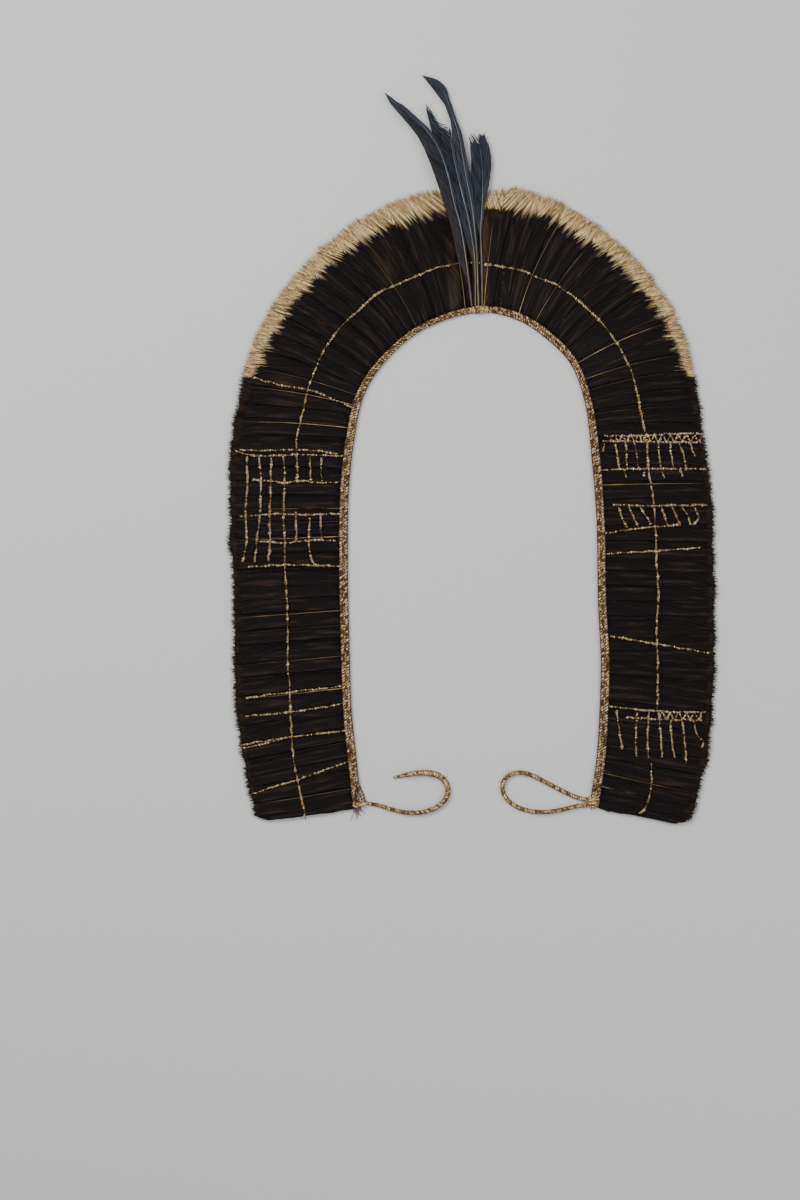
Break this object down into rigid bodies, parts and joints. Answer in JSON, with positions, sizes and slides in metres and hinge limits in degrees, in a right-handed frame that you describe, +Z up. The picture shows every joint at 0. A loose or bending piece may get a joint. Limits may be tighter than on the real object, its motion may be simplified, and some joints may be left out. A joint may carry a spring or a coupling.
{
  "type": "feathered headdress",
  "caption": "Tall arched fan of broad dark feathers with buff tips on a bound cord, with long blue plumes at the crown and a tie and loop at its feet.",
  "frame": {"origin": "on the surface that it lies on, under the middle of its box without the ties", "axes": "+Y from the feet of the arch to its crown, +X across it, +Z up from the surface"},
  "size_m": [0.7302, 1.1278, 0.017],
  "materials": {
    "band_cotton": "matt hand-spun cotton, wound, tan with gold and brown flecks",
    "tie_cotton": "matt twisted cotton, tan with brown flecks",
    "dark_feather": "near-black feather with fine brown streaks and a faint sheen",
    "blue_feather": "slate-blue feather with a pale shaft and a soft sheen"
  },
  "bodies": {
    "root": {"inner_cord": "band_cotton", "outer_cord": "band_cotton", "left_knot": "band_cotton", "right_knot": "band_cotton", "crown_lashing": "band_cotton", "feather_left_01": "dark_feather", "feather_left_02": "dark_feather", "feather_left_03": "dark_feather", "feather_left_04": "dark_feather", "feather_left_05": "dark_feather", "feather_left_06": "dark_feather", "feather_left_07": "dark_feather", "feather_left_08": "dark_feather", "feather_left_09": "dark_feather", "feather_left_10": "dark_feather", "feather_left_11": "dark_feather", "feather_left_12": "dark_feather", "feather_left_13": "dark_feather", "feather_left_14": "dark_feather", "feather_left_15": "dark_feather", "feather_left_16": "dark_feather", "feather_left_17": "dark_feather", "feather_left_18": "dark_feather", "feather_left_19": "dark_feather", "feather_left_20": "dark_feather", "feather_left_21": "dark_feather", "feather_left_22": "dark_feather", "feather_right_01": "dark_feather", "feather_right_02": "dark_feather", "feather_right_03": "dark_feather", "feather_right_04": "dark_feather", "feather_right_05": "dark_feather", "feather_right_06": "dark_feather", "feather_right_07": "dark_feather", "feather_right_08": "dark_feather", "feather_right_09": "dark_feather", "feather_right_10": "dark_feather", "feather_right_11": "dark_feather", "feather_right_12": "dark_feather", "feather_right_13": "dark_feather", "feather_right_14": "dark_feather", "feather_right_15": "dark_feather", "feather_right_16": "dark_feather", "feather_right_17": "dark_feather", "feather_right_18": "dark_feather", "feather_right_19": "dark_feather", "feather_right_20": "dark_feather", "feather_right_21": "dark_feather", "feather_right_22": "dark_feather", "feather_crown": "dark_feather", "plume_bent_left": "blue_feather", "plume_torn": "blue_feather", "plume_tall": "blue_feather", "plume_short_right": "blue_feather", "left_tie": "tie_cotton", "right_loop": "tie_cotton"}
  },
  "joints": []
}
